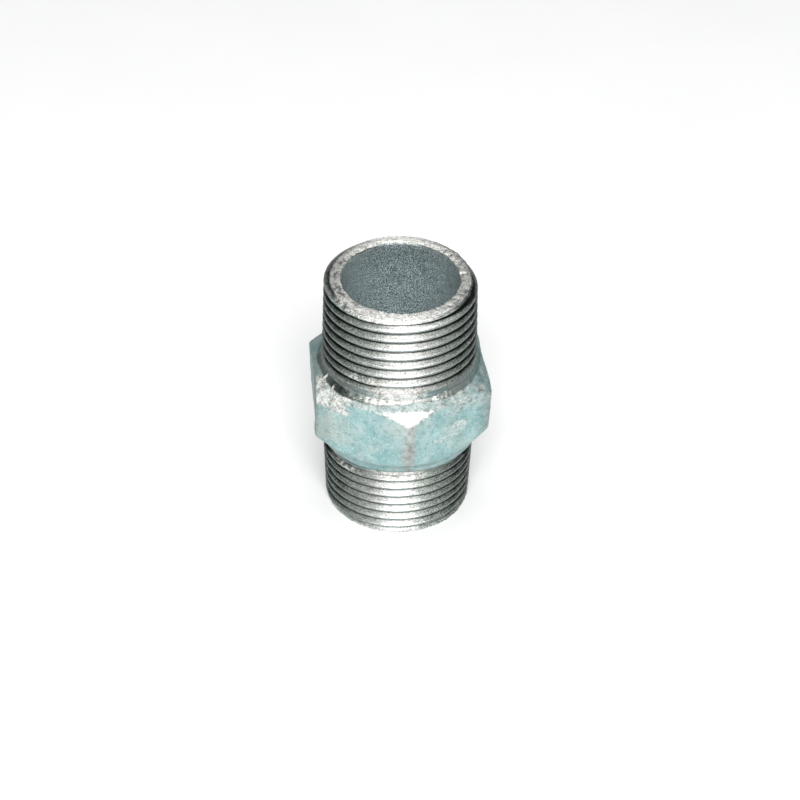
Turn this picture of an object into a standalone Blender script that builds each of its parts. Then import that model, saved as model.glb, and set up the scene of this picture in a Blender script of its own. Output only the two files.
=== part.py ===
"""Hexagon nipple, R 3/4 x 3/4: a short iron fitting that joins two threaded pipes.

The real fitting is one casting with the threads cut into it, so the model is one solid:
a hexagon and a turned tube joined together, then a thread groove cut into each end.

Frame: +Z along the pipe axis, origin at the centre of the lower end face. Two corners of
the hexagon point along +Y and -Y, and two of its flats face +X and -X.
"""
import math

import bmesh
import bpy

MM = 0.001
FULL_TURN = 2.0 * math.pi

# Body, in millimetres
LENGTH = 45.7               # from end face to end face
BORE_RADIUS = 10.0
END_CHAMFER = 0.15          # on the outer edge of each end face
ACROSS_FLATS = 30.0
CORNER_RADIUS = 1.5         # rounding of the hexagon's six upright edges
COLLAR_FOOT = (14.15, 14.9)   # radius and height of the collar's lower edge
COLLAR_TOP = (14.6, 16.7)     # where the collar meets the hexagon's lower chamfer
HEX_SHOULDER = (14.25, 29.2)  # inner edge of the hexagon's upper chamfer
NECK_TOP = 31.0               # where the neck's flare begins, above the shoulder
LOWER_CHAMFER_DEG = 45.0    # slopes of the hexagon's chamfers, from the horizontal
UPPER_CHAMFER_DEG = 34.0

# R 3/4 taper thread of ISO 7-1, Whitworth form, 14 threads to the inch
PITCH = 25.4 / 14.0
GAUGE_RADIUS = 26.441 / 2.0
GAUGE_LENGTH = 9.5          # from the end face to the gauge plane
RADIUS_TAPER = 1.0 / 32.0   # growth of the radius with the distance from the end
THREAD_DEPTH = 0.6403 * PITCH
FLANK_DEG = 27.5
ROOT_WIDTH = 0.5 * (PITCH - 2.0 * THREAD_DEPTH * math.tan(math.radians(FLANK_DEG)))
FULL_THREAD = 12.4          # length of full depth, from each end face
WASHOUT = 1.7               # length over which the groove then runs out
GROOVE_TURNS = 9            # enough to pass from the washout out through the end face
UPPER_CREST = 43.8          # height of a crest at the azimuth below, on each thread
LOWER_CREST = 1.45
CREST_AZIMUTH_DEG = 262.76

# Fineness of the facets, and the overlaps that the cuts and joints need
BARREL_STEPS = 48           # also a turn of the grooves, whose facets meet the barrel's
HEX_FORM_STEPS = 72
CORNER_SEGMENTS = 3
OVERCUT = 0.12              # how far a groove cutter stands clear of the crests
JOINT_OVERLAP = 1.0         # how far the hexagon and the barrel's flare share metal
MERGE_DISTANCE = 0.000005   # in metres: points that the turning and cutting leave double

IRON_COLOUR = (0.42, 0.52, 0.52, 1.0)
IRON_ROUGHNESS = 0.5
IRON_METALLIC = 0.7


def clear_scene():
    for thing in list(bpy.data.objects):
        bpy.data.objects.remove(thing, do_unlink=True)


def make_collection(name):
    collection = bpy.data.collections.new(name)
    bpy.context.scene.collection.children.link(collection)
    return collection


def add_object(name, mesh, collection):
    made = bpy.data.objects.new(name, mesh)
    collection.objects.link(made)
    return made


def hide_tool(tool):
    tool.hide_render = True
    tool.display_type = "WIRE"


def boolean(target, tool, operation):
    modifier = target.modifiers.new(f"{operation.lower()} {tool.name}", "BOOLEAN")
    modifier.operation = operation
    modifier.solver = "EXACT"
    modifier.object = tool


def add_screw(target, steps, rise=0.0, turns=1):
    """Turn a profile about Z, climbing by the rise in each turn."""
    screw = target.modifiers.new("turn", "SCREW")
    screw.axis = "Z"
    screw.angle = FULL_TURN
    screw.steps = steps
    screw.render_steps = steps
    screw.screw_offset = rise
    screw.iterations = turns
    screw.use_merge_vertices = True
    screw.merge_threshold = MERGE_DISTANCE
    screw.use_smooth_shade = False


def profile_mesh(name, outline):
    """A closed loop of edges in the XZ plane from (radius, height) pairs in millimetres."""
    points = [(radius * MM, 0.0, height * MM) for radius, height in outline]
    edges = [(i, (i + 1) % len(points)) for i in range(len(points))]
    mesh = bpy.data.meshes.new(name)
    mesh.from_pydata(points, edges, [])
    return mesh


def turned_ring(name, outline, steps, collection):
    """A ring turned about Z. Its outline runs down the outer side and up the inner one."""
    ring = add_object(name, profile_mesh(name, outline), collection)
    add_screw(ring, steps)
    return ring


def crest_radius(distance_from_end):
    return GAUGE_RADIUS + (distance_from_end - GAUGE_LENGTH) * RADIUS_TAPER


def barrel(collection):
    """The threaded tube with the neck, and the flare that runs into the hexagon."""
    neck_radius = crest_radius(LENGTH - NECK_TOP)
    flare_slope = (HEX_SHOULDER[0] - neck_radius) / (NECK_TOP - HEX_SHOULDER[1])
    flare_foot = HEX_SHOULDER[1] - JOINT_OVERLAP
    rim_radius = crest_radius(END_CHAMFER)
    outline = [
        (rim_radius - END_CHAMFER, LENGTH),
        (rim_radius, LENGTH - END_CHAMFER),
        (neck_radius, NECK_TOP),
        (HEX_SHOULDER[0] + JOINT_OVERLAP * flare_slope, flare_foot),
        (crest_radius(COLLAR_TOP[1]), COLLAR_TOP[1]),
        (rim_radius, END_CHAMFER),
        (rim_radius - END_CHAMFER, 0.0),
        (BORE_RADIUS, 0.0),
        (BORE_RADIUS, LENGTH),
    ]
    return turned_ring("barrel", outline, BARREL_STEPS, collection)


def hexagon_form(collection):
    """The turned ring that gives the hexagon its chamfers and the collar below it."""
    upper_slope = math.tan(math.radians(UPPER_CHAMFER_DEG))
    lower_slope = math.tan(math.radians(LOWER_CHAMFER_DEG))
    reach = ACROSS_FLATS / math.sqrt(3.0) + JOINT_OVERLAP
    inner = HEX_SHOULDER[0] - 2.0 * JOINT_OVERLAP
    outline = [
        (inner, HEX_SHOULDER[1] + (HEX_SHOULDER[0] - inner) * upper_slope),
        (reach, HEX_SHOULDER[1] + (HEX_SHOULDER[0] - reach) * upper_slope),
        (reach, COLLAR_TOP[1] + (reach - COLLAR_TOP[0]) * lower_slope),
        COLLAR_TOP,
        COLLAR_FOOT,
        (inner, COLLAR_FOOT[1]),
    ]
    return turned_ring("hexagon_form", outline, HEX_FORM_STEPS, collection)


def hexagon_prism(name, collection):
    """A hexagonal prism with rounded upright edges and corners along +Y and -Y.

    It is twice as tall as the hexagon, so that it passes both ends of the turned form.
    """
    height = 2.0 * (HEX_SHOULDER[1] - COLLAR_FOOT[1])
    circumradius = ACROSS_FLATS / math.sqrt(3.0)
    shape = bmesh.new()
    bmesh.ops.create_cone(shape, cap_ends=True, segments=6, radius1=circumradius * MM,
                          radius2=circumradius * MM, depth=height * MM)
    upright = [edge for edge in shape.edges
               if abs(edge.verts[0].co.z - edge.verts[1].co.z) > 0.5 * height * MM]
    bmesh.ops.bevel(shape, geom=upright, affect="EDGES", segments=CORNER_SEGMENTS,
                    profile=0.5, offset_type="OFFSET",
                    offset=CORNER_RADIUS * math.tan(FULL_TURN / 12.0) * MM)
    mesh = bpy.data.meshes.new(name)
    shape.to_mesh(mesh)
    shape.free()
    prism = add_object(name, mesh, collection)
    prism.location.z = 0.5 * (HEX_SHOULDER[1] + COLLAR_FOOT[1]) * MM
    return prism


def groove_outline(height):
    """The groove's section on a cylinder of zero radius, root inwards, round the height."""
    flare = math.tan(math.radians(FLANK_DEG))
    root = 0.5 * ROOT_WIDTH
    mouth = root + (THREAD_DEPTH + OVERCUT) * flare
    return [
        (OVERCUT, height + mouth),
        (OVERCUT, height - mouth),
        (-THREAD_DEPTH, height - root),
        (-THREAD_DEPTH, height + root),
    ]


def groove_cutter(name, crest_height, end_height, collection):
    """The helical cutter of the thread whose end face is at the given height.

    The section is swept on a plain cylinder first. Each point is then moved out to the
    taper, and further out over the washout, so that the groove fades out of the metal.
    """
    rise = PITCH / BARREL_STEPS
    groove_at_zero = crest_height - PITCH * (CREST_AZIMUTH_DEG / 360.0 + 0.5)
    fade_end = abs(end_height - FULL_THREAD - WASHOUT)
    lowest = fade_end if end_height > 0.0 else fade_end - GROOVE_TURNS * PITCH
    first_step = round((lowest - groove_at_zero) / rise)
    outline = [(GAUGE_RADIUS + depth, height)
               for depth, height in groove_outline(groove_at_zero + first_step * rise)]
    sweep = add_object(name, profile_mesh(name, outline), collection)
    add_screw(sweep, BARREL_STEPS, rise=PITCH * MM, turns=GROOVE_TURNS)
    graph = bpy.context.evaluated_depsgraph_get()
    mesh = bpy.data.meshes.new_from_object(sweep.evaluated_get(graph))
    bpy.data.objects.remove(sweep, do_unlink=True)

    shape = bmesh.new()
    shape.from_mesh(mesh)
    bmesh.ops.holes_fill(shape, edges=shape.edges[:], sides=0)
    bmesh.ops.recalc_face_normals(shape, faces=shape.faces[:])
    for point in shape.verts:
        swept = math.hypot(point.co.x, point.co.y)
        from_end = abs(point.co.z / MM - end_height)
        washed = min(max((from_end - FULL_THREAD) / WASHOUT, 0.0), 1.0)
        moved = crest_radius(from_end) - GAUGE_RADIUS + washed * (THREAD_DEPTH + OVERCUT)
        scale = (swept + moved * MM) / swept
        point.co.x *= scale
        point.co.y *= scale
    shape.to_mesh(mesh)
    shape.free()
    cutter = add_object(name, mesh, collection)
    cutter.rotation_euler.z = FULL_TURN * (first_step % BARREL_STEPS) / BARREL_STEPS
    return cutter


def iron_material():
    material = bpy.data.materials.new("galvanised_iron")
    material.use_nodes = True
    shader = material.node_tree.nodes["Principled BSDF"]
    shader.inputs["Base Color"].default_value = IRON_COLOUR
    shader.inputs["Roughness"].default_value = IRON_ROUGHNESS
    shader.inputs["Metallic"].default_value = IRON_METALLIC
    return material


def build():
    clear_scene()
    parts = make_collection("hexagon_nipple")
    tools = make_collection("cutters")

    nipple = hexagon_prism("hexagon_nipple_body", parts)
    boolean(nipple, hexagon_form(tools), "INTERSECT")
    boolean(nipple, barrel(tools), "UNION")
    boolean(nipple, groove_cutter("upper_groove", UPPER_CREST, LENGTH, tools), "DIFFERENCE")
    boolean(nipple, groove_cutter("lower_groove", LOWER_CREST, 0.0, tools), "DIFFERENCE")
    weld = nipple.modifiers.new("weld", "WELD")
    weld.merge_threshold = MERGE_DISTANCE
    nipple.data.materials.append(iron_material())
    for tool in tools.objects:
        hide_tool(tool)


build()
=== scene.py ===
"""The looks of the hexagon nipple: a galvanised iron casting with two cut taper threads.

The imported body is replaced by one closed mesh, within 3% of its box. It is a grid of
columns round the axis and rows down the outside, in under the foot and up the bore. In
the threads the rows follow the helix, so that every crest and root is a clean line.
Relief that the eye can see, such as chatter, torn metal, burrs and the sand-cast skin,
is in the mesh, and finer grain is in the materials.

Sizes are in millimetres and angles in radians, unless a name says otherwise.
"""

import math
from collections import namedtuple

import bmesh
import bpy
import numpy as np
from mathutils import Matrix, Vector


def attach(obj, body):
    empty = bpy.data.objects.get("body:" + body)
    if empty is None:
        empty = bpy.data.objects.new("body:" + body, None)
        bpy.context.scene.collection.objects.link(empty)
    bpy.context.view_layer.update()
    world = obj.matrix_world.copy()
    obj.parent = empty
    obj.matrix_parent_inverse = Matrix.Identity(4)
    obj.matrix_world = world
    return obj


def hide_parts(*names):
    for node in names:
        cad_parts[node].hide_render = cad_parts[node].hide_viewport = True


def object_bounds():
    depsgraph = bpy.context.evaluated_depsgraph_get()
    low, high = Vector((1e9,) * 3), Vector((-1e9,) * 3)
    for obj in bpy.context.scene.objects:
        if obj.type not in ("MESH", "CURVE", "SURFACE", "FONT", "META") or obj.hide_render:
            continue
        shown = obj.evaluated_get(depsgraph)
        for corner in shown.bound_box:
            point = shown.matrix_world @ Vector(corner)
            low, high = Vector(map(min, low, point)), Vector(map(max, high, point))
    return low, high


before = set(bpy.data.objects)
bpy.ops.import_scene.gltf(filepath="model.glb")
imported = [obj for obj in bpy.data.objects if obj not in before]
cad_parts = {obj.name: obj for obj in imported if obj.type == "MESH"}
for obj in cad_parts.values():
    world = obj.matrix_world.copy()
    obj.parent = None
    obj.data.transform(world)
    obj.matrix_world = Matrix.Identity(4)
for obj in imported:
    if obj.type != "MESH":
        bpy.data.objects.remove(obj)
cad_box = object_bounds()

MM = 0.001
TURN = 2.0 * math.pi
NODE = "hexagon_nipple_body"

# Body, with the CAD's own sizes. Pairs are a radius and a height.
LENGTH = cad_box[1].z / MM
ACROSS_FLATS = (cad_box[1].x - cad_box[0].x) / MM
COLLAR_FOOT = (14.15, 14.9)   # the collar's lower edge
COLLAR_TOP = (14.6, 16.7)     # where the hexagon's lower chamfer starts
SHOULDER = (14.25, 29.2)      # the inner edge of the hexagon's upper chamfer
UPPER_SLOPE = math.tan(math.radians(34.0))

# Body, in the looks only, or a little off the CAD to leave room for the rough skin
BORE_RADIUS = 9.95
CORNER_SOFTNESS = 0.42      # how gently neighbouring faces of the hexagon meet
NECK_TOP = 30.5
NECK_RADIUS = 13.28
DRAFT = 0.028               # how fast the cast flats lean in, going down
SHOULDER_FOOT = 27.5        # the height where they start to
END_TILT = 0.033            # how far the upper end is out of square
END_RISE = 0.15             # how much longer the upper end was left
TABLET_RISE = 0.5
TABLET_HEIGHT = 22.9        # of the middle of the tablet

# R 3/4 taper thread
PITCH = 25.4 / 14.0
GAUGE_RADIUS = 26.441 / 2.0
GAUGE_LENGTH = 9.5
RADIUS_TAPER = 1.0 / 32.0
THREAD_DEPTH = 0.6403 * PITCH
FLANK = math.radians(27.5)
ROUNDING = 0.1373 * PITCH
CREST_TRIM = 0.016          # how far the blank falls short of full crests, which stay zinc

# end: the end face's height. crest: a crest's height on the camera's side. full_length: how
# far the thread has its full depth. chamfer: how far the worn edge of the end goes in and
# along. Then the centre of the painted light, in degrees to the right of the camera, where the
# painted shade and dark grain on the sides are least. scuffed: the same for a scuffed crest,
# and its height. seed: the first of ten.
Thread = namedtuple("Thread", "end crest full_length chamfer cleanest scuffed seed")
UPPER = Thread(end=LENGTH, crest=43.8, full_length=14.0, chamfer=(1.0, 0.5), cleanest=7.0,
               scuffed=(-24.0, 33.1), seed=11)
LOWER = Thread(end=0.0, crest=1.45, full_length=13.0, chamfer=(0.2, 0.2), cleanest=-12.0,
               scuffed=(-47.0, 12.5), seed=21)
WASHOUT = 1.4               # length over which a groove fades into the blank

# The camera's place round the object, which is also where the crest heights are given
CAMERA_AZIMUTH = math.radians(262.76)
CAMERA_ELEVATION = math.radians(38.38)
CAMERA_DISTANCE = 323.99
CAMERA_ROLL = math.radians(1.147)
AIM_HEIGHT = 19.74
AIM_SIDE = 0.28             # how far right of the axis the camera looks
SENSOR_WIDTH = 36.0
FOCAL_LENGTH = 82.93

# Degrees to the right of the camera
FRONT_CORNER = 7.24         # the nearest corner of the hexagon
TABLET_FACE = 37.24         # the flat with the tablet
TORN_LIP = 99.0             # a sliver torn off the rim

# Colours of the metal, and how metallic each kind of surface is. Bared metal is torn and
# dull, so it scatters light as a pale powder would. The painted highlights are made of it too.
DULL_ZINC = (0.47, 0.525, 0.48)
DARK_SPOT = (0.17, 0.30, 0.29)
PALE_DUST = (0.85, 0.91, 0.90)
DARK_GRAIN = (0.08, 0.12, 0.11)
COOL_TINT = (0.92, 1.0, 0.96)
# Almost white, for the brightest bared metal and the painted highlights
BRIGHTEST = (0.93, 0.93, 0.92)
# Near black, for dirt and for painted shade and shadow
DIRT_AND_SHADE = (0.006, 0.016, 0.015)
ZINC_METALLIC = 0.28
SAND_METALLIC = 0.2
BARED_METALLIC = 0.1
BUMP_DISTANCE = 0.00016     # in metres, as all lengths in a material are

FLOOR_RADIUS = 2.0          # in metres, as is the gap below the foot
FLOOR_GAP = 0.00003

COLUMNS = 288
MERGE_DISTANCE = 0.000002   # in metres
FAR_OUT = 99.0              # a radius that limits nothing


# ---------------------------------------------------------------- smooth random relief

def smooth(share):
    """A share from 0 to 1, made level at both ends."""
    return share * share * (3.0 - 2.0 * share)


def relief(angle, along, cell_round, cell_along, seed):
    """Smooth random values from -1 to 1, closed round the axis.

    A lattice of random values is laid round the axis and along a second coordinate, with
    cells of the given sizes, and read between its points.
    """
    columns = max(3, round(TURN * GAUGE_RADIUS / cell_round))
    rows = 256
    lattice = np.random.default_rng(seed).uniform(-1.0, 1.0, (rows, columns))
    place_round = (angle / TURN % 1.0) * columns
    place_along = along / cell_along
    column = np.floor(place_round).astype(int)
    row = np.floor(place_along).astype(int)
    share_round = smooth(place_round - column)
    share_along = smooth(place_along - row)
    left, right = column % columns, (column + 1) % columns
    low, high = row % rows, (row + 1) % rows
    below = lattice[low, left] * (1.0 - share_round) + lattice[low, right] * share_round
    above = lattice[high, left] * (1.0 - share_round) + lattice[high, right] * share_round
    return below * (1.0 - share_along) + above * share_along


def ease(value, start, stop):
    """0 before start, 1 after stop, smooth between. Start may lie after stop."""
    return smooth(np.clip((value - start) / (stop - start), 0.0, 1.0))


def bump_at(value, centre, width):
    """1 at the centre, falling off to both sides as a bell curve does."""
    return np.exp(-((value - centre) / width) ** 2)


def turned_by(angle, azimuth):
    """The angle from an azimuth, from minus to plus half a turn."""
    return (angle - azimuth + 0.5 * TURN) % TURN - 0.5 * TURN


def soft_min(first, second, softness):
    """The smaller of two values, with the change from one to the other rounded off."""
    mixed = np.clip(0.5 + 0.5 * (second - first) / softness, 0.0, 1.0)
    return second + (first - second) * mixed - softness * mixed * (1.0 - mixed)


def soft_max(first, second, softness):
    return -soft_min(-first, -second, softness)


# ---------------------------------------------------------------- masks

# What each point of the skin is: bare cut iron rather than zinc; dirty, and in painted shade and
# shadow; inside the bore; torn to fresh metal, and under painted highlights and glints; and worn
# dull, which on the threads and neck is painted shade on the sides and in the bore painted sparkle
MASKS = ("cut", "grime", "in_bore", "bright", "worn")


def looks(angle, **masks):
    """The masks of a row of points, in the order of MASKS. One that isn't given is 0."""
    return np.stack([masks.get(name, 0.0) + 0.0 * angle for name in MASKS])


def side_degrees(angle):
    """Degrees to the right of the camera."""
    return np.degrees(turned_by(angle, CAMERA_AZIMUTH))


# ---------------------------------------------------------------- threads

def crest_radius(from_end):
    """Radius of the crests on the thread's taper, at a distance from its end face."""
    return GAUGE_RADIUS + (from_end - GAUGE_LENGTH) * RADIUS_TAPER


def whitworth_depth(phase):
    """Depth below the crest at a phase of the pitch, 0 at a crest and 0.5 at a root."""
    axial = np.abs(phase) * PITCH
    arc_end = ROUNDING * math.cos(FLANK)
    arc_depth = ROUNDING * (1.0 - math.sin(FLANK))
    crest_arc = ROUNDING - np.sqrt(np.maximum(ROUNDING ** 2 - axial ** 2, 0.0))
    flank = arc_depth + (axial - arc_end) / math.tan(FLANK)
    from_root = PITCH / 2.0 - axial
    root_arc = np.sqrt(np.maximum(ROUNDING ** 2 - from_root ** 2, 0.0)) - ROUNDING
    depth = np.where(axial < arc_end, crest_arc, flank)
    return np.where(from_root < arc_end, THREAD_DEPTH + root_arc, depth)


def front_painted_light(side):
    """1 where the surface faces the camera, fading to the left and right: the share of painted light
    there.
    """
    return np.clip(1.3 * bump_at(side, 0.0, 20.0), 0.0, 1.0)


def groove(angle, height, thread):
    """A cut thread's depth below the crest, its phase, and how far it is washed out."""
    from_end = np.abs(height - thread.end)
    turn = turned_by(angle, CAMERA_AZIMUTH) / TURN
    phase = ((height - thread.crest) / PITCH - turn + 0.5) % 1.0 - 0.5
    washed = ease(from_end, thread.full_length, thread.full_length + WASHOUT)
    ragged_end = 0.12 * relief(angle, height, 2.5, 1.5, thread.seed) * ease(washed, 0.0, 0.2)
    depth = whitworth_depth(phase) - washed * (THREAD_DEPTH + 0.1) - ragged_end
    return depth, phase, washed


def tool_marks(angle, height, depth, phase, seed):
    """The depth with chatter added on the upper flanks and nicks in the crests."""
    flank = ease(depth, 0.1, 0.35) * ease(depth, 1.15, 0.85) * (phase > 0.0)
    chatter = 0.6 * relief(angle, height, 0.7, 1.1, seed + 1)
    chatter = chatter + relief(angle, height, 0.4, 0.3, seed + 2)
    patchy = ease(relief(angle, height, 6.0, 2.5, seed + 3), -0.4, 0.6)
    depth = depth + flank * chatter * (0.008 + 0.022 * patchy)
    nicks = ease(relief(angle, height, 0.7, 0.9, seed + 4), 0.72, 0.95)
    return depth + 0.12 * nicks * ease(depth, 0.3, 0.05)


def worn_end(angle, from_end, thread):
    """Radii of the rubbed-down edge of a thread's end, and of the lip that stands inside it."""
    inset, length = thread.chamfer
    ragged = 0.10 * relief(angle, 0.0 * angle, 1.1, 1.0, thread.seed + 5)
    ragged = ragged + 0.07 * relief(angle, 0.0 * angle, 0.5, 1.0, thread.seed + 6)
    chamfer = crest_radius(0.0) - inset * (1.0 - from_end / length)
    chamfer = np.where(from_end < length, chamfer + ragged, FAR_OUT)
    lip = crest_radius(0.0) - inset + 0.5 * ragged - 0.4 * from_end
    return chamfer, lip - 3.0 * np.maximum(from_end - 0.5, 0.0)


def collar_shade(side, height):
    """Where the lower thread is in the collar's shade, at its left and right ends."""
    shade_end = COLLAR_FOOT[1] - 1.7 - 2.4 * ease(np.abs(side), 50.0, 74.0)
    under_collar = ease(height, shade_end, shade_end + 1.0) * (height < SHOULDER[1])
    return under_collar * np.maximum(ease(side, 26.0, 60.0), ease(side, -46.0, -60.0))


def thread_grime(side, depth, above_lip, shaded, thread):
    """Dirt in the roots and painted shade: up the flanks and over the sides, and under the collar."""
    across = np.abs(side)
    # On the sides the darkening reaches higher up the flanks: painted shade below each crest
    deep = 0.87 - 0.42 * ease(across, 4.0, 68.0) - 0.2 * bump_at(across, 73.0, 16.0)
    deep = deep + 0.32 * ease(across, 84.0, 130.0)
    roots = ease(depth / THREAD_DEPTH, deep - 0.07, deep + 0.07) * ease(above_lip, 0.0, 0.15)
    turned_off = np.abs(side - thread.cleanest)
    # Painted shade on the sides, away from the highlight
    sides = 0.22 * ease(turned_off, 40.0, 72.0) * ease(turned_off, 150.0, 110.0)
    in_shade = 0.98 * shaded * ease(across, 140.0, 100.0)
    return np.maximum(np.maximum(0.92 * roots, sides), in_shade)


def thread_shine(angle, height, depth, on_chamfer, thread):
    """Painted glints on flanks, fresh metal in end burrs and a scuffed crest, painted highlight on
    the last turn.
    """
    side = side_degrees(angle)
    glints = ease(relief(angle, height, 0.4, 0.35, thread.seed + 7), 0.8, 0.95)
    glints = glints * ease(depth, 0.7, 0.4)
    burred = ease(np.abs(side + 26.0), 42.0, 28.0) * on_chamfer
    burred = burred * ease(relief(angle, height, 0.5, 0.4, thread.seed + 8), -0.5, 0.1)
    scuff_side, scuff_height = thread.scuffed
    along_crest = height - PITCH * side / 360.0
    scuffed = bump_at(side, scuff_side, 17.0) * bump_at(along_crest, scuff_height, 0.5)
    scuffed = scuffed * ease(relief(angle, height, 0.5, 0.3, thread.seed + 9), -0.6, 0.1)
    from_end = np.abs(height - thread.end)
    last_turn = ease(from_end, thread.full_length - 0.9, thread.full_length + 0.1)
    shine = np.maximum(0.6 * np.maximum(glints, burred), scuffed)
    # A painted highlight on the last turn where it faces the camera
    return np.maximum(shine, 0.85 * front_painted_light(side) * last_turn)


def thread_surface(angle, height, thread):
    """Radius and masks of a thread's outer surface, from its rubbed-down end to its washout."""
    side = side_degrees(angle)
    from_end = np.abs(height - thread.end)
    depth, phase, washed = groove(angle, height, thread)
    cut = ease(depth, 0.0, 2.4 * CREST_TRIM)
    depth = tool_marks(angle, height, np.maximum(depth, CREST_TRIM), phase, thread.seed)
    chamfer, lip = worn_end(angle, from_end, thread)
    radius = np.maximum(np.minimum(crest_radius(from_end) - depth, chamfer), lip)
    on_chamfer = ease(from_end, thread.chamfer[1], 0.55 * thread.chamfer[1])
    bright = thread_shine(angle, height, depth, on_chamfer, thread)

    shaded = collar_shade(side, height)
    cut = np.maximum(cut, on_chamfer) * (1.0 - 0.7 * shaded)
    grime = thread_grime(side, depth, radius - lip, shaded, thread)
    # Painted shade on the zinc crests, lifted on the washed-out blank where it faces the camera
    grime = np.maximum(grime, 0.68 * (1.0 - cut) * (1.0 - front_painted_light(side) * washed))
    turned_off = np.abs(side - thread.cleanest)
    # More dark grain and a cool tint on the sides away from the highlight: painted shade
    worn = 0.8 * ease(turned_off, 12.0, 46.0) - 0.35 * ease(turned_off, 84.0, 120.0)
    return radius, looks(angle, cut=cut, grime=grime, bright=bright, worn=worn)


def pitch_rows():
    """Phases of the rows in one pitch, dense at the crest and root arcs."""
    arc = ROUNDING * math.cos(FLANK) / PITCH
    crest = [-arc, -0.5 * arc, 0.0, 0.5 * arc, arc]
    flank = [arc + (0.5 - 2.0 * arc) * share for share in (0.25, 0.5, 0.62, 0.75, 0.88)]
    root = [0.5 - arc, 0.5 - 0.5 * arc, 0.5, 0.5 + 0.5 * arc, 0.5 + arc]
    return sorted(crest + flank + root + [0.75], reverse=True)


def helical_rows(angle, top, bottom, crest_height):
    """Heights of the rows of each column, from top to bottom, clamped to both."""
    turn = (angle - CAMERA_AZIMUTH) / TURN
    first = math.ceil((top - crest_height) / PITCH) + 1
    last = math.floor((bottom - crest_height) / PITCH) - 1
    rows = [whole + phase for whole in range(first, last - 1, -1) for phase in pitch_rows()]
    heights = crest_height + PITCH * (np.array(rows)[:, None] + turn[None, :])
    return np.clip(heights, bottom, top)


# ---------------------------------------------------------------- neck, hexagon and collar

def shoulder_edge(angle):
    """Radius and height of the ragged edge where the die's cut ends on the shoulder."""
    side = side_degrees(angle)
    level = 0.0 * angle
    radius = 14.12 + 0.42 * bump_at(side, -43.0, 17.0) - 0.5 * bump_at(side, 9.0, 19.0)
    radius = radius + 0.18 * bump_at(side, -92.0, 14.0)
    radius = radius + 0.2 * np.sin(2.0 * angle + 1.0) * ease(np.abs(side), 95.0, 130.0)
    radius = radius + 0.10 * relief(angle, level, 1.6, 1.0, 31)
    radius = radius + 0.09 * relief(angle, level, 0.6, 1.0, 32)
    height = SHOULDER[1] - (radius - SHOULDER[0]) * UPPER_SLOPE
    return radius, height


def hexagon_radius(angle, height):
    """Distance from the axis to the cast flats, two of whose rounded corners are along Y.

    The casting is uneven: the near left corner is full, and the far right flat is hollow.
    """
    apothem = ACROSS_FLATS / 2.0 - DRAFT * np.maximum(SHOULDER_FOOT - height, 0.0)
    sector = TURN / 6.0
    from_flat = (angle + 0.5 * sector) % sector - 0.5 * sector
    near = apothem / np.cos(from_flat)
    beyond = apothem / np.cos(np.minimum(sector - np.abs(from_flat), 0.49 * math.pi))
    side = side_degrees(angle)
    proud = 0.55 * bump_at(side, -56.5, 5.0) * ease(height, SHOULDER_FOOT, 20.0)
    sunk = 0.55 * bump_at(side, 99.0, 19.0) * ease(height, 22.0, 28.0)
    return soft_min(near, beyond, CORNER_SOFTNESS) + proud - sunk


def cast_relief(angle, height):
    """The uneven sand-cast skin of the hexagon."""
    broad = 0.07 * relief(angle, height, 5.5, 5.0, 41)
    middle = 0.04 * relief(angle, height, 1.9, 1.7, 42)
    fine = 0.025 * relief(angle, height, 0.7, 0.6, 43)
    return broad + middle + fine


def tablet(angle, height):
    """A plain raised tablet on one flat, where makers cast a mark."""
    face = CAMERA_AZIMUTH + math.radians(TABLET_FACE)
    across = (ACROSS_FLATS / 2.0) * np.tan(np.clip(turned_by(angle, face), -0.6, 0.6))
    beyond = np.maximum(np.abs(across + 0.3) - 2.0, 0.0)
    from_spine = np.hypot(beyond, height - TABLET_HEIGHT)
    return TABLET_RISE * ease(from_spine, 1.95, 1.5)


Zones = namedtuple("Zones", "flat torn fine scraped facet rough arris pad shelf corner patch strip")


def hexagon_zones(angle, height, radius, past_arris):
    """How much each place on the casting belongs to each of its kinds of surface.

    They are a flat, two random grains, the scraped left end, the painted highlight at the front
    corner, the rough right end, the upper arris, the tablet, the front of the shoulder,
    the upright corners, the front corner's dull patch and the strip turned away at the left.
    """
    side = side_degrees(angle)
    on_cone = ease(past_arris, -0.2, 0.1)
    flat = 1.0 - on_cone
    torn = 0.5 + 0.5 * relief(angle, height, 0.75, 0.6, 45)
    fine = 0.5 + 0.5 * relief(angle, height, 0.4, 0.3, 46)
    low_end = 26.5 - 0.5 * relief(angle, 0.0 * angle, 1.3, 1.0, 47) - 0.8 * (fine - 0.5)
    scraped = ease(np.abs(side + 50.0), 25.0, 12.0) * ease(height, low_end - 0.5, low_end + 0.5)
    scraped = scraped * ease(torn + 0.5 * fine, 0.3, 0.65) * (1.0 - ease(side, -54.0, -59.0) * flat)
    # The white patch on the cone by the front corner is a painted highlight
    highlight_edge = 14.9 + 0.5 * ((side - 6.0) / 19.0) ** 2
    facet = ease(radius + 0.35 * fine - highlight_edge, -0.05, 0.2) * ease(past_arris, -0.25, 0.35)
    rough = ease(np.abs(side - 58.0), 36.0, 18.0) * ease(height, 25.2, 26.6)
    arris = bump_at(past_arris, 0.0, 0.3) * ease(np.abs(side - 4.0), 62.0, 45.0)
    pad = tablet(angle, height) / TABLET_RISE
    shelf = ease(np.abs(side), 52.0, 30.0) * on_cone
    corner = bump_at((side - FRONT_CORNER + 30.0) % 60.0 - 30.0, 0.0, 2.3) * flat
    patch = bump_at(side + 3.0 * (fine - 0.5), 6.2, 3.8) * bump_at(height, 21.0, 1.9)
    strip = ease(side, -51.5, -55.0) * ease(side, -80.0, -64.0) * flat
    return Zones(flat, torn, fine, scraped, facet, rough, arris, pad, shelf, corner, patch, strip)


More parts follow.
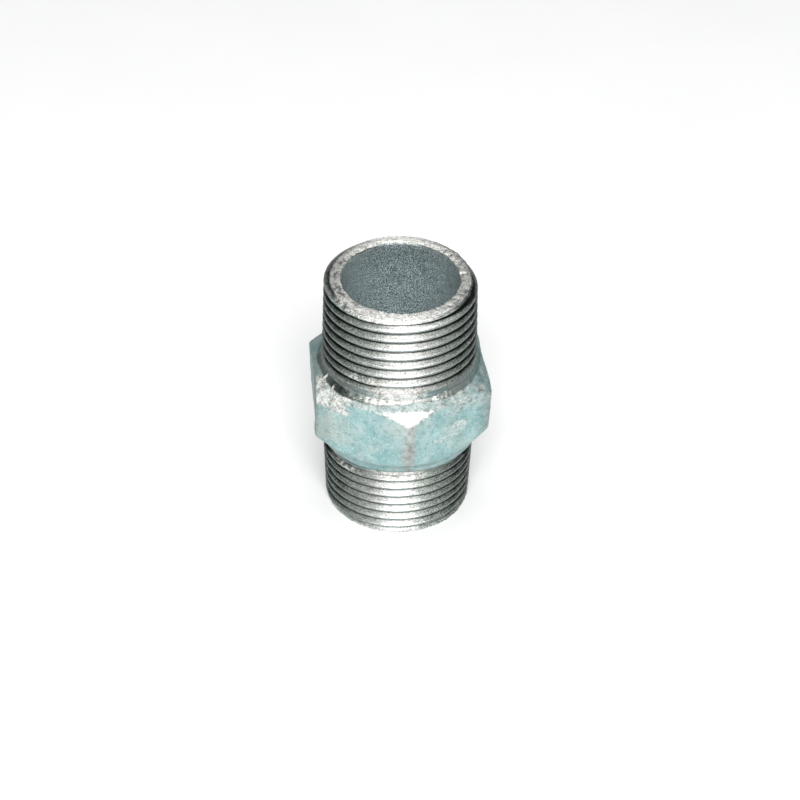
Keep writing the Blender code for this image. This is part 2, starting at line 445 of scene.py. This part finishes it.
def hexagon_shine(angle, height, zones):
    """Zinc scraped or rubbed through to bare metal, and painted highlights at the front corner and on
    the arris.
    """
    rubbed_pad = ease(zones.pad, 0.45, 0.9) * (0.6 + 0.4 * relief(angle, height, 2.2, 2.0, 48))
    shine = np.maximum(0.74 * zones.scraped * (0.7 + 0.5 * zones.torn), zones.facet)
    shine = np.maximum(shine, 0.5 * rubbed_pad)
    shine = np.maximum(shine, 0.3 * zones.rough * (0.4 + zones.torn))
    # A painted highlight along the upper arris on the camera's side
    return np.maximum(shine, np.maximum(0.55 * zones.arris, 0.34 * zones.shelf))


def hexagon_wear(side, height, zones):
    """Zinc rubbed to a dull warm grey, mostly at the front corner."""
    worn = 0.7 * zones.corner * (side > -30.0) + 1.1 * zones.patch
    worn = worn + 0.4 * zones.shelf + 0.15 * zones.rough
    worn = worn + 0.3 * bump_at(side, 4.0, 14.0) * ease(height, 21.0, 25.5) * zones.flat
    return np.clip(worn * (1.0 - zones.strip), 0.0, 1.0)


def hexagon_grime(side, height, zones):
    """Dirt in the grains; painted shade and shadow round the collar, under the tablet and on faces
    turned away.
    """
    # Painted shadow along the collar's foot
    foot = ease(height, COLLAR_FOOT[1] + 0.4, COLLAR_FOOT[1] + 0.1)
    # Painted shade where the chamfer meets the collar
    collar_joint_shade = 0.2 * bump_at(height, COLLAR_TOP[1] - 0.1, 0.2) + 0.8 * foot
    # Darker towards the collar
    collar_joint_shade = collar_joint_shade + 0.2 * ease(height, 18.6, 16.2)
    dirty = 0.2 * zones.shelf * (1.0 - zones.facet) + 0.2 * zones.corner
    dirty = dirty + 0.7 * zones.scraped * ease(zones.fine, 0.4, 0.2)
    dirty = dirty + 0.55 * zones.rough * ease(zones.fine, 0.42, 0.2)
    dirty = dirty + 0.42 * zones.patch * (0.4 + 0.6 * zones.torn)
    # Painted shadow under the tablet's lower edge
    pad_shadow = ease(zones.pad, 0.05, 0.3) * ease(zones.pad, 0.75, 0.45) * ease(height, 23.6, 22.6)
    # Painted shade on the collar's ends
    collar_end_shade = ease(height, 16.6, 15.5) * ease(np.abs(side), 52.0, 74.0)
    # Painted shade on the faces turned away from the light, most on the strip at the left
    turned_away_shade = 0.42 * ease(np.abs(side - 2.0), 50.0, 68.0) + 0.3 * zones.strip
    left_end_shade = ease(side, -43.0, -49.0) * ease(side, -80.0, -64.0) * zones.flat
    shade = np.maximum(0.5 * pad_shadow, 0.75 * collar_end_shade)
    shade = np.maximum(shade, np.maximum(turned_away_shade, 0.2 * left_end_shade))
    return np.clip(np.maximum(collar_joint_shade + dirty, shade), 0.0, 0.95)


def hexagon_surface(angle, height):
    """Radius and masks of the cast skin from the shoulder's edge to the collar's foot."""
    shoulder = SHOULDER[0] + (SHOULDER[1] - height) / UPPER_SLOPE
    collar = COLLAR_FOOT[0] + (height - COLLAR_FOOT[1]) * 0.25
    chamfer = COLLAR_TOP[0] + (height - COLLAR_TOP[1])
    under = soft_max(collar, chamfer, 0.25)
    under = under - 0.25 * ease(height, COLLAR_FOOT[1] + 0.45, COLLAR_FOOT[1])
    flats = hexagon_radius(angle, height) + tablet(angle, height)
    radius = soft_min(soft_min(shoulder, flats, 0.2), under, 0.4) + cast_relief(angle, height)

    side = side_degrees(angle)
    zones = hexagon_zones(angle, height, radius, flats - shoulder)
    masks = looks(angle, bright=hexagon_shine(angle, height, zones),
                  worn=hexagon_wear(side, height, zones), grime=hexagon_grime(side, height, zones))
    radius = radius + 0.10 * zones.scraped * (zones.torn - 0.5)
    return radius + 0.10 * zones.rough * (zones.fine - 0.3), masks


# Each one's place and width, in degrees, and how far it stands out
Burr = namedtuple("Burr", "place width rise")
BURRS = (
    Burr(-63.0, 1.1, 0.55),
    Burr(-51.0, 0.9, 0.4),
    Burr(28.0, 1.5, 0.3),
    Burr(33.0, 1.0, 0.3),
    Burr(118.0, 1.2, 0.5),
    Burr(171.0, 1.4, 0.45),
    Burr(-140.0, 1.2, 0.4),
)


def burrs(angle, height, edge_height):
    """How far slivers of torn metal stand out from the ragged edge."""
    side = side_degrees(angle)
    level = bump_at(height, edge_height + 0.25, 0.4)
    total = 0.0 * angle
    for burr in BURRS:
        total = total + burr.rise * bump_at(side, burr.place, burr.width) * level
    return total


def neck_surface(angle, height):
    """Radius and masks of the zinc ring and the torn flare below it."""
    edge_radius, edge_height = shoulder_edge(angle)
    flare_top = 30.2 + 0.12 * relief(angle, 0.0 * angle, 2.2, 1.0, 61)
    flare = np.clip((flare_top - height) / (flare_top - edge_height), 0.0, 1.0)
    blend_in = ease(height, NECK_TOP, NECK_TOP - 0.3)
    crest = crest_radius(LENGTH - height) - CREST_TRIM
    radius = crest * (1.0 - blend_in) + NECK_RADIUS * blend_in
    radius = radius + (edge_radius - 0.24 - NECK_RADIUS) * flare ** 1.15
    torn = relief(angle, height, 0.62, 1.3, 62) + 0.7 * relief(angle, height, 0.36, 0.4, 63)
    radius = radius + ease(flare, 0.0, 0.25) * ease(flare, 1.0, 0.9) * 0.10 * torn
    radius = radius + 0.02 * relief(angle, height, 0.9, 0.8, 64)
    burr = burrs(angle, height, edge_height)
    return radius + burr, neck_looks(angle, flare, torn, burr)


def neck_looks(angle, flare, torn, burr):
    """Masks of the neck, where flare runs from 0 at the zinc ring to 1 at the torn edge."""
    side = side_degrees(angle)
    slate = ease(side, -50.0, -66.0) * (side > -130.0) + ease(side, 36.0, 58.0) * (side < 130.0)
    cut = ease(flare + 0.1 * torn, 0.02, 0.2) * (1.0 - 0.9 * slate)
    front = front_painted_light(side)
    # Painted shade on the left of the flare
    left_painted_shade = 0.8 * ease(np.abs(side + 68.0), 38.0, 22.0) * ease(flare, 0.05, 0.3)
    # Painted shadow under the ragged edge and painted shade on the zinc ring, both lifted at the
    # front
    lip_and_ring_shade = np.maximum(0.85 * ease(flare, 0.88, 1.0), 0.66 * (1.0 - cut))
    # Darker towards the right
    right_side = 0.62 * ease(side, 30.0, 56.0) * (side < 130.0)
    grime = np.maximum(np.maximum(lip_and_ring_shade * (1.0 - 0.8 * front), right_side), left_painted_shade)
    # Painted glints on the torn metal at the right
    glints = 0.5 * ease(side, 14.0, 24.0) * ease(side, 75.0, 50.0) * ease(torn, 0.2, 0.7)
    # A painted highlight at the front, and bared metal on the burrs
    shine = np.maximum(np.maximum(front * (0.9 + 0.2 * torn), 3.0 * burr), glints)
    # More dark grain and a cool tint on the sides: painted shade
    worn = ease(np.abs(side), 10.0, 34.0) * cut
    return looks(angle, cut=cut, grime=grime, worn=worn, bright=np.clip(shine, 0.0, 1.0))


# ---------------------------------------------------------------- the grid

def cut_face_looks(angle, bright):
    """Masks of an end face's rows, all of them bare cut iron."""
    return np.stack([looks(angle, cut=1.0, bright=row) for row in bright])


def rim_rows(angle, inner, outer):
    """Rows across the upper end face, from the bore to the rim: radii, heights, masks.

    The face is burred: it falls to the bore and to the rim, and its bright metal is
    broken up. Its lightness by side is painted light, most at the front and at the back near the
    bore. It was cut a little out of square, low on the camera's side.
    """
    shares = np.linspace(0.0, 1.0, 10)[1:-1, None]
    angles = np.broadcast_to(angle, (len(shares), len(angle)))
    radii = inner + shares * (outer - inner)
    side = side_degrees(angles)
    lumps = relief(angles, radii, 0.9, 0.5, 71)
    grit = relief(angles, radii, 0.45, 0.4, 72)
    heights = -0.22 * ease(shares, 0.3, 0.0) - 0.2 * ease(shares, 0.75, 1.0)
    heights = heights + 0.05 * lumps + 0.05 * grit
    heights = heights - 0.15 * bump_at(side, TORN_LIP, 1.2)

    # Painted light: lighter at the front, at the back near the bore, and a little on the right
    front = bump_at(side, -22.0, 52.0)
    back = bump_at(side, 150.0, 32.0) + bump_at(side, -150.0, 30.0)
    right = bump_at(side, 70.0, 40.0)
    outer_zone = ease(shares, 0.45, 0.7)
    bright = front + back * (1.0 - outer_zone) + 0.2 * right
    bright = 0.36 + 0.29 * np.clip(bright, 0.0, 1.0)
    bright = bright * ease(lumps + 0.6 * grit, -1.2, -0.2)
    bright = bright + 0.5 * bump_at(side, TORN_LIP, 1.0) * (1.0 - outer_zone)
    return radii, LENGTH + heights, cut_face_looks(angle, np.clip(bright, 0.0, 1.0))


def foot_rows(angle, inner, outer):
    """Rows across the lower end face, from the rim back to the bore."""
    shares = np.linspace(1.0, 0.0, 10)[1:-1, None]
    angles = np.broadcast_to(angle, (len(shares), len(angle)))
    radii = inner + shares * (outer - inner)
    heights = 0.1 + 0.05 * relief(angles, radii, 0.9, 0.5, 76)
    heights = heights + 0.05 * relief(angles, radii, 0.45, 0.4, 77)
    shine = 0.5 + 0.5 * relief(angles, radii, 2.5, 0.8, 78)
    return radii, heights, cut_face_looks(angle, 0.5 * shine)


def bore_surface(angle, height):
    """Radius and masks of the sand-cast bore, with a burr at each mouth."""
    level = 0.0 * angle
    sand = 0.055 * relief(angle, height, 1.3, 1.2, 81) + 0.04 * relief(angle, height, 0.6, 0.6, 82)
    mouth = np.minimum(np.abs(height), np.abs(LENGTH - height))
    burr = 0.13 * relief(angle, level, 1.2, 1.0, 83) + 0.08 * relief(angle, level, 0.5, 1.0, 84)
    edge = mouth + 1.2 * burr
    side = side_degrees(angle)
    # Painted sparkle: grit where the far wall faces the camera
    sparkle = 0.25 + 0.75 * bump_at(np.abs(side), 168.0, 42.0)
    top_shade = ease(height, LENGTH - 7.0, LENGTH - 1.5) * bump_at(np.abs(side), 180.0, 60.0)
    masks = looks(angle, in_bore=ease(edge, 0.0, 0.5), cut=ease(edge, 0.5, 0.1), worn=sparkle,
                  grime=0.16 * top_shade)
    return BORE_RADIUS + sand + burr * ease(mouth, 0.7, 0.0), masks


def bore_levels():
    """Heights of the rows up the bore, dense near the upper mouth, which is seen into."""
    lower = [0.0, 0.15, 0.4, 0.9, 1.8, 3.0, 4.5, 6.5, 9.0, 12.0, 15.5, 19.0, 22.5, 26.0, 29.0]
    upper = [LENGTH - 0.62 * step for step in range(22, 0, -1)]
    return lower + upper + [LENGTH - 0.35, LENGTH - 0.15, LENGTH]


def tilt(angle, radius, height):
    """Lower the upper end on the camera's side, and raise it at the back."""
    share = ease(height, LENGTH - 1.2, LENGTH - 0.2)
    return height + share * (END_RISE - END_TILT * radius * np.cos(angle - CAMERA_AZIMUTH))


def neck_levels(edge):
    """Heights of the rows from the top of the neck to just above the ragged edge."""
    return [NECK_TOP + share * (edge + 0.03 - NECK_TOP) for share in np.linspace(0.08, 1.0, 15)]


def skin_levels(edge):
    """Heights of the rows from the ragged edge to the collar's foot.

    The first ones follow the edge. By the foot of the shoulder's slope they are level.
    """
    level = 0.0 * edge
    start = edge - 0.12
    slope_foot = 27.1
    levels = [edge - 0.02, start]
    levels += [start + share * (slope_foot - edge + 0.12) for share in np.linspace(0.07, 1.0, 14)]
    levels += [level + height for height in np.linspace(slope_foot - 0.32, 19.6, 23)]
    levels += [level + height for height in np.linspace(19.38, COLLAR_FOOT[1] + 0.45, 20)]
    levels += [level + COLLAR_FOOT[1] + rise for rise in (0.25, 0.1, 0.0)]
    return levels


def grid():
    """Angles of the columns, and all rows' radii, heights and masks as a closed loop.

    The rows go down the outside, in under the foot, up the bore and out over the rim.
    """
    angle = CAMERA_AZIMUTH + TURN * (np.arange(COLUMNS + 1) / COLUMNS - 0.5)
    level = 0.0 * angle
    _, edge = shoulder_edge(angle)

    rows = [(height, *thread_surface(angle, height, UPPER))
            for height in helical_rows(angle, LENGTH, NECK_TOP, UPPER.crest)]
    rows += [(height, *neck_surface(angle, height)) for height in neck_levels(edge)]
    rows += [(height, *hexagon_surface(angle, height)) for height in skin_levels(edge)]
    rows += [(height, *thread_surface(angle, height, LOWER))
             for height in helical_rows(angle, COLLAR_FOOT[1], 0.0, LOWER.crest)]
    bore = [(level + height, *bore_surface(angle, level + height)) for height in bore_levels()]
    foot = foot_rows(angle, bore[0][1], rows[-1][1])
    rim = rim_rows(angle, bore[-1][1], rows[0][1])

    radii = np.concatenate([[row[1] for row in rows], foot[0], [row[1] for row in bore], rim[0]])
    heights = np.concatenate([[row[0] for row in rows], foot[1], [row[0] for row in bore], rim[1]])
    masks = np.concatenate([[row[2] for row in rows], foot[2], [row[2] for row in bore], rim[2]])
    return angle, radii, tilt(angle, radii, heights), masks


def nipple_mesh():
    """The grid as one closed mesh, with the masks as attributes of its points."""
    angle, radii, heights, masks = grid()
    rows, columns = radii.shape
    points = np.stack([radii * np.cos(angle), radii * np.sin(angle), heights], axis=-1) * MM
    here = np.arange(rows * columns).reshape(rows, columns)
    below = np.roll(here, -1, axis=0)
    quads = np.stack([here[:, :-1], below[:, :-1], below[:, 1:], here[:, 1:]], axis=-1).reshape(-1, 4)

    mesh = bpy.data.meshes.new("nipple_skin")
    mesh.from_pydata(points.reshape(-1, 3).tolist(), [], quads.tolist())
    for place, name in enumerate(MASKS):
        layer = mesh.attributes.new(name, "FLOAT", "POINT")
        layer.data.foreach_set("value", masks[:, place].astype(np.float32).ravel())
    shape = bmesh.new()
    shape.from_mesh(mesh)
    bmesh.ops.remove_doubles(shape, verts=shape.verts[:], dist=MERGE_DISTANCE)
    bmesh.ops.dissolve_degenerate(shape, edges=shape.edges[:], dist=MERGE_DISTANCE)
    bmesh.ops.recalc_face_normals(shape, faces=shape.faces[:])
    shape.to_mesh(mesh)
    shape.free()
    mesh.shade_smooth()
    return mesh


# ---------------------------------------------------------------- materials

def new_material(name):
    material = bpy.data.materials.new(name)
    material.use_nodes = True
    return material, material.node_tree, material.node_tree.nodes["Principled BSDF"]


def node(tree, kind, **settings):
    """A new node with its settings, which aren't its sockets."""
    made = tree.nodes.new(kind)
    for name, value in settings.items():
        setattr(made, name, value)
    return made


def noise(tree, place, scale, detail=3.0):
    """Smooth random values with about this many lumps to a unit of the place."""
    made = node(tree, "ShaderNodeTexNoise")
    made.inputs["Scale"].default_value = scale
    made.inputs["Detail"].default_value = detail
    made.inputs["Roughness"].default_value = 0.6
    tree.links.new(place, made.inputs["Vector"])
    return made.outputs["Fac"]


def ramp(tree, value, stops):
    """A value turned into a colour or a grey. Stops are pairs of a position and a colour."""
    made = node(tree, "ShaderNodeValToRGB")
    elements = made.color_ramp.elements
    while len(elements) < len(stops):
        elements.new(0.5)
    for element, (position, colour) in zip(elements, stops):
        element.position = position
        element.color = (*colour, 1.0) if isinstance(colour, tuple) else (colour, colour, colour, 1.0)
    tree.links.new(value, made.inputs["Fac"])
    return made.outputs["Color"]


def feed(tree, socket, value):
    """Link a socket to another, or set it. A single number for a colour is a grey."""
    if isinstance(value, bpy.types.NodeSocket):
        tree.links.new(value, socket)
    elif socket.type == "RGBA":
        socket.default_value = (*(value if isinstance(value, tuple) else (value,) * 3), 1.0)
    else:
        socket.default_value = value


def mix(tree, share, first, second, blend="MIX"):
    """Colours mixed by a share. Share and colours may be sockets or plain values."""
    made = node(tree, "ShaderNodeMix", data_type="RGBA", blend_type=blend)
    feed(tree, made.inputs[0], share)
    feed(tree, made.inputs[6], first)
    feed(tree, made.inputs[7], second)
    return made.outputs[2]


def math_node(tree, operation, first, second=0.0):
    made = node(tree, "ShaderNodeMath", operation=operation)
    feed(tree, made.inputs[0], first)
    feed(tree, made.inputs[1], second)
    return made.outputs[0]


def weighted_sum(tree, first, first_weight, second, second_weight):
    weighted = math_node(tree, "MULTIPLY", first, first_weight)
    return math_node(tree, "ADD", weighted, math_node(tree, "MULTIPLY", second, second_weight))


def attribute(tree, name):
    return node(tree, "ShaderNodeAttribute", attribute_name=name).outputs["Fac"]


def turned_place(tree, place, along_cut, across_cut):
    """Coordinates that follow a lathe tool round the Z axis, from object coordinates.

    Detail in them is drawn out along the cut. They join up at the back, on +Y.
    """
    parts = node(tree, "ShaderNodeSeparateXYZ")
    tree.links.new(place, parts.inputs["Vector"])
    x, y, z = parts.outputs
    angle = math_node(tree, "ARCTAN2", x, math_node(tree, "MULTIPLY", y, -1.0))
    radius = math_node(tree, "SQRT", weighted_sum(tree, x, x, y, y))
    joined = node(tree, "ShaderNodeCombineXYZ")
    tree.links.new(math_node(tree, "MULTIPLY", angle, along_cut), joined.inputs["X"])
    tree.links.new(math_node(tree, "MULTIPLY", z, across_cut), joined.inputs["Y"])
    tree.links.new(math_node(tree, "MULTIPLY", radius, across_cut), joined.inputs["Z"])
    return joined.outputs["Vector"]


Grain = namedtuple("Grain", "cloud mottle spots speckle dust grooves")


def make_grain(tree, place):
    """Random values from broad to fine, and the score lines that the die left."""
    return Grain(
        cloud=noise(tree, place, 120.0, 4.0),
        mottle=noise(tree, place, 360.0, 5.0),
        spots=noise(tree, place, 1150.0, 3.0),
        speckle=noise(tree, place, 3200.0, 2.0),
        dust=noise(tree, place, 4800.0, 1.0),
        grooves=noise(tree, turned_place(tree, place, 9.0, 7000.0), 1.0, 2.0),
    )


def zinc_colour(tree, grain, worn):
    """Mottled blue-grey zinc with dull clouds, dark spots and pale dust, and grey wear; on thread
    crests, painted shade.
    """
    zinc = ramp(tree, grain.mottle, [
        (0.3, (0.22, 0.42, 0.425)),
        (0.5, (0.31, 0.50, 0.50)),
        (0.7, (0.43, 0.60, 0.59)),
    ])
    dull = math_node(tree, "MULTIPLY", ramp(tree, grain.cloud, [(0.46, 0.0), (0.62, 1.0)]), 0.7)
    zinc = mix(tree, dull, zinc, DULL_ZINC)
    zinc = mix(tree, ramp(tree, grain.spots, [(0.34, 0.55), (0.47, 0.0)]), zinc, DARK_SPOT)
    zinc = mix(tree, ramp(tree, grain.dust, [(0.6, 0.0), (0.72, 0.75)]), zinc, PALE_DUST)
    rubbed = math_node(tree, "MULTIPLY", worn, ramp(tree, grain.mottle, [(0.3, 0.7), (0.5, 1.0)]))
    wear = ramp(tree, grain.spots, [(0.36, (0.36, 0.385, 0.365)), (0.6, (0.64, 0.66, 0.64))])
    return mix(tree, rubbed, zinc, wear)


def sand_colour(tree, grain, place, gritty):
    """The dull skin that the sand core left in the bore, with grit whose pale grains are painted
    sparkle.
    """
    sand = ramp(tree, grain.spots, [(0.35, (0.31, 0.38, 0.385)), (0.65, (0.44, 0.52, 0.525))])
    grit = ramp(tree, noise(tree, place, 5800.0, 1.0), [
        (0.36, (0.07, 0.10, 0.105)),
        (0.5, (0.21, 0.27, 0.28)),
        (0.62, (0.6, 0.69, 0.70)),
    ])
    return mix(tree, gritty, sand, grit)


def cut_colour(tree, grain, worn):
    """Bare iron scored by the die, with dark grains; more of them and a cool tint on the sides are
    painted shade.
    """
    iron = ramp(tree, weighted_sum(tree, grain.grooves, 0.45, grain.dust, 0.55), [
        (0.38, (0.37, 0.385, 0.36)),
        (0.5, (0.80, 0.81, 0.78)),
        (0.58, (1.0, 1.0, 0.98)),
    ])
    specks = ramp(tree, grain.speckle, [(0.38, 0.55), (0.5, 0.0)])
    dark = math_node(tree, "MULTIPLY", math_node(tree, "ADD", worn, 0.3), specks)
    return mix(tree, worn, mix(tree, dark, iron, DARK_GRAIN), COOL_TINT, "MULTIPLY")


def fresh_colour(tree, grain, bright):
    """Torn metal, lumpy and warm, almost white on scraped zinc, burrs and the painted highlights."""
    fresh = ramp(tree, weighted_sum(tree, grain.spots, 0.45, grain.speckle, 0.55), [
        (0.4, (0.2, 0.185, 0.165)),
        (0.49, (0.6, 0.58, 0.535)),
        (0.57, (0.95, 0.935, 0.905)),
    ])
    return mix(tree, ramp(tree, bright, [(0.7, 0.0), (1.0, 0.85)]), fresh, BRIGHTEST)


def bared_share(tree, place, bright):
    """How much metal the bright mask lays bare, painted highlights included. It comes through in
    flecks.
    """
    flecks = math_node(tree, "MULTIPLY", noise(tree, place, 1700.0, 4.0), 0.8)
    flecked = ramp(tree, math_node(tree, "ADD", flecks, bright), [(0.6, 0.1), (0.82, 1.0)])
    return math_node(tree, "MULTIPLY", bright, flecked)


def add_sheen(tree, shader, grain, cut):
    """Roughness, and the highlight that is drawn out across the die's score lines."""
    zinc_rough = ramp(tree, grain.mottle, [(0.3, 0.58), (0.7, 0.42)])
    iron_rough = ramp(tree, grain.grooves, [(0.3, 0.54), (0.7, 0.44)])
    tree.links.new(mix(tree, cut, zinc_rough, iron_rough), shader.inputs["Roughness"])
    tree.links.new(math_node(tree, "MULTIPLY", cut, 0.65), shader.inputs["Anisotropic"])
    along_cut = node(tree, "ShaderNodeTangent", direction_type="RADIAL", axis="Z").outputs["Tangent"]
    tree.links.new(along_cut, shader.inputs["Tangent"])
    shader.inputs["Anisotropic Rotation"].default_value = 0.25
    shader.inputs["Specular IOR Level"].default_value = 0.3


def add_bump(tree, shader, grain, cut):
    """Fine relief: cast grain on the skin, and score lines on the cut metal."""
    cast = math_node(tree, "ADD", math_node(tree, "MULTIPLY", grain.spots, 0.9), grain.mottle)
    cast = math_node(tree, "ADD", math_node(tree, "MULTIPLY", grain.speckle, 0.35), cast)
    scored = weighted_sum(tree, grain.grooves, 0.16, grain.dust, 0.09)
    bump = node(tree, "ShaderNodeBump")
    bump.inputs["Strength"].default_value = 0.9
    bump.inputs["Distance"].default_value = BUMP_DISTANCE
    tree.links.new(mix(tree, cut, cast, scored), bump.inputs["Height"])
    tree.links.new(bump.outputs["Normal"], shader.inputs["Normal"])


def iron_material():
    """Zinc skin, bare cut iron and the sand-cast bore in one shader, parted by masks."""
    material, tree, shader = new_material("galvanised_iron")
    place = node(tree, "ShaderNodeTexCoord").outputs["Object"]
    cut, grime, in_bore, bright, worn = (attribute(tree, name) for name in MASKS)
    grain = make_grain(tree, place)
    bared = bared_share(tree, place, bright)

    zinc = zinc_colour(tree, grain, worn)
    skin = mix(tree, in_bore, zinc, sand_colour(tree, grain, place, worn))
    colour = mix(tree, cut, skin, cut_colour(tree, grain, worn))
    # Dirt, and painted shade and shadow, darken towards near black
    colour = mix(tree, grime, colour, DIRT_AND_SHADE)
    # Bared metal, and the painted highlights and glints
    colour = mix(tree, bared, colour, fresh_colour(tree, grain, bright))
    tree.links.new(colour, shader.inputs["Base Color"])

    metallic = mix(tree, cut, mix(tree, in_bore, ZINC_METALLIC, SAND_METALLIC), 1.0)
    tree.links.new(mix(tree, bared, metallic, BARED_METALLIC), shader.inputs["Metallic"])
    add_sheen(tree, shader, grain, cut)
    add_bump(tree, shader, grain, cut)
    return material


def floor_material():
    material, tree, shader = new_material("pale_floor")
    place = node(tree, "ShaderNodeTexCoord").outputs["Object"]
    tone = ramp(tree, noise(tree, place, 30.0), [(0.3, 0.93), (0.7, 0.95)])
    tree.links.new(tone, shader.inputs["Base Color"])
    shader.inputs["Roughness"].default_value = 0.9
    return material


# ---------------------------------------------------------------- scene

def add_nipple():
    piece = bpy.data.objects.new("nipple_casting", nipple_mesh())
    bpy.context.scene.collection.objects.link(piece)
    piece.data.materials.append(iron_material())
    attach(piece, "root")
    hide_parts(NODE)


def add_floor():
    bpy.ops.mesh.primitive_circle_add(vertices=96, radius=FLOOR_RADIUS, fill_type="NGON",
                                      location=(0.0, 0.0, -FLOOR_GAP))
    floor = bpy.context.object
    floor.name = "floor"
    floor.data.materials.append(floor_material())


def azimuth_vector(azimuth, elevation):
    level = math.cos(elevation)
    return Vector((level * math.cos(azimuth), level * math.sin(azimuth), math.sin(elevation)))


def add_light(name, side, elevation, distance, width, height, power):
    """An oblong soft light, placed by its degrees to the right of the camera and upwards.

    Its distance from the object and its size are in metres.
    """
    away = azimuth_vector(CAMERA_AZIMUTH + math.radians(side), math.radians(elevation))
    data = bpy.data.lights.new(name, "AREA")
    data.shape = "RECTANGLE"
    data.size = width
    data.size_y = height
    data.energy = power
    light = bpy.data.objects.new(name, data)
    bpy.context.scene.collection.objects.link(light)
    centre = Vector((0.0, 0.0, 0.5 * LENGTH * MM))
    light.location = centre + away * distance
    light.rotation_euler = away.to_track_quat("Z", "Y").to_euler()


def add_camera():
    away = azimuth_vector(CAMERA_AZIMUTH, CAMERA_ELEVATION)
    place = away * CAMERA_DISTANCE * MM + Vector((0.0, 0.0, AIM_HEIGHT * MM))
    right = Vector((-math.sin(CAMERA_AZIMUTH), math.cos(CAMERA_AZIMUTH), 0.0))
    aim = Vector((0.0, 0.0, AIM_HEIGHT * MM)) + right * AIM_SIDE * MM
    data = bpy.data.cameras.new("camera")
    data.sensor_width = SENSOR_WIDTH
    data.lens = FOCAL_LENGTH
    data.clip_start = 0.01
    camera = bpy.data.objects.new("camera", data)
    bpy.context.scene.collection.objects.link(camera)
    look = (aim - place).to_track_quat("-Z", "Y").to_matrix().to_4x4()
    roll = Matrix.Rotation(CAMERA_ROLL, 4, "Z")
    camera.matrix_world = Matrix.Translation(place) @ look @ roll
    bpy.context.scene.camera = camera


def add_world():
    world = bpy.data.worlds.new("studio")
    world.use_nodes = True
    background = world.node_tree.nodes["Background"]
    background.inputs["Color"].default_value = (0.9, 0.95, 1.0, 1.0)
    background.inputs["Strength"].default_value = 0.05
    bpy.context.scene.world = world
    bpy.context.scene.view_settings.view_transform = "Standard"


add_world()
add_camera()
add_floor()
add_nipple()
add_light("key", side=3.0, elevation=46.0, distance=1.0, width=0.6, height=0.35, power=10.3)
add_light("overhead", side=186.0, elevation=85.0, distance=1.2, width=1.2, height=0.9, power=9.3)
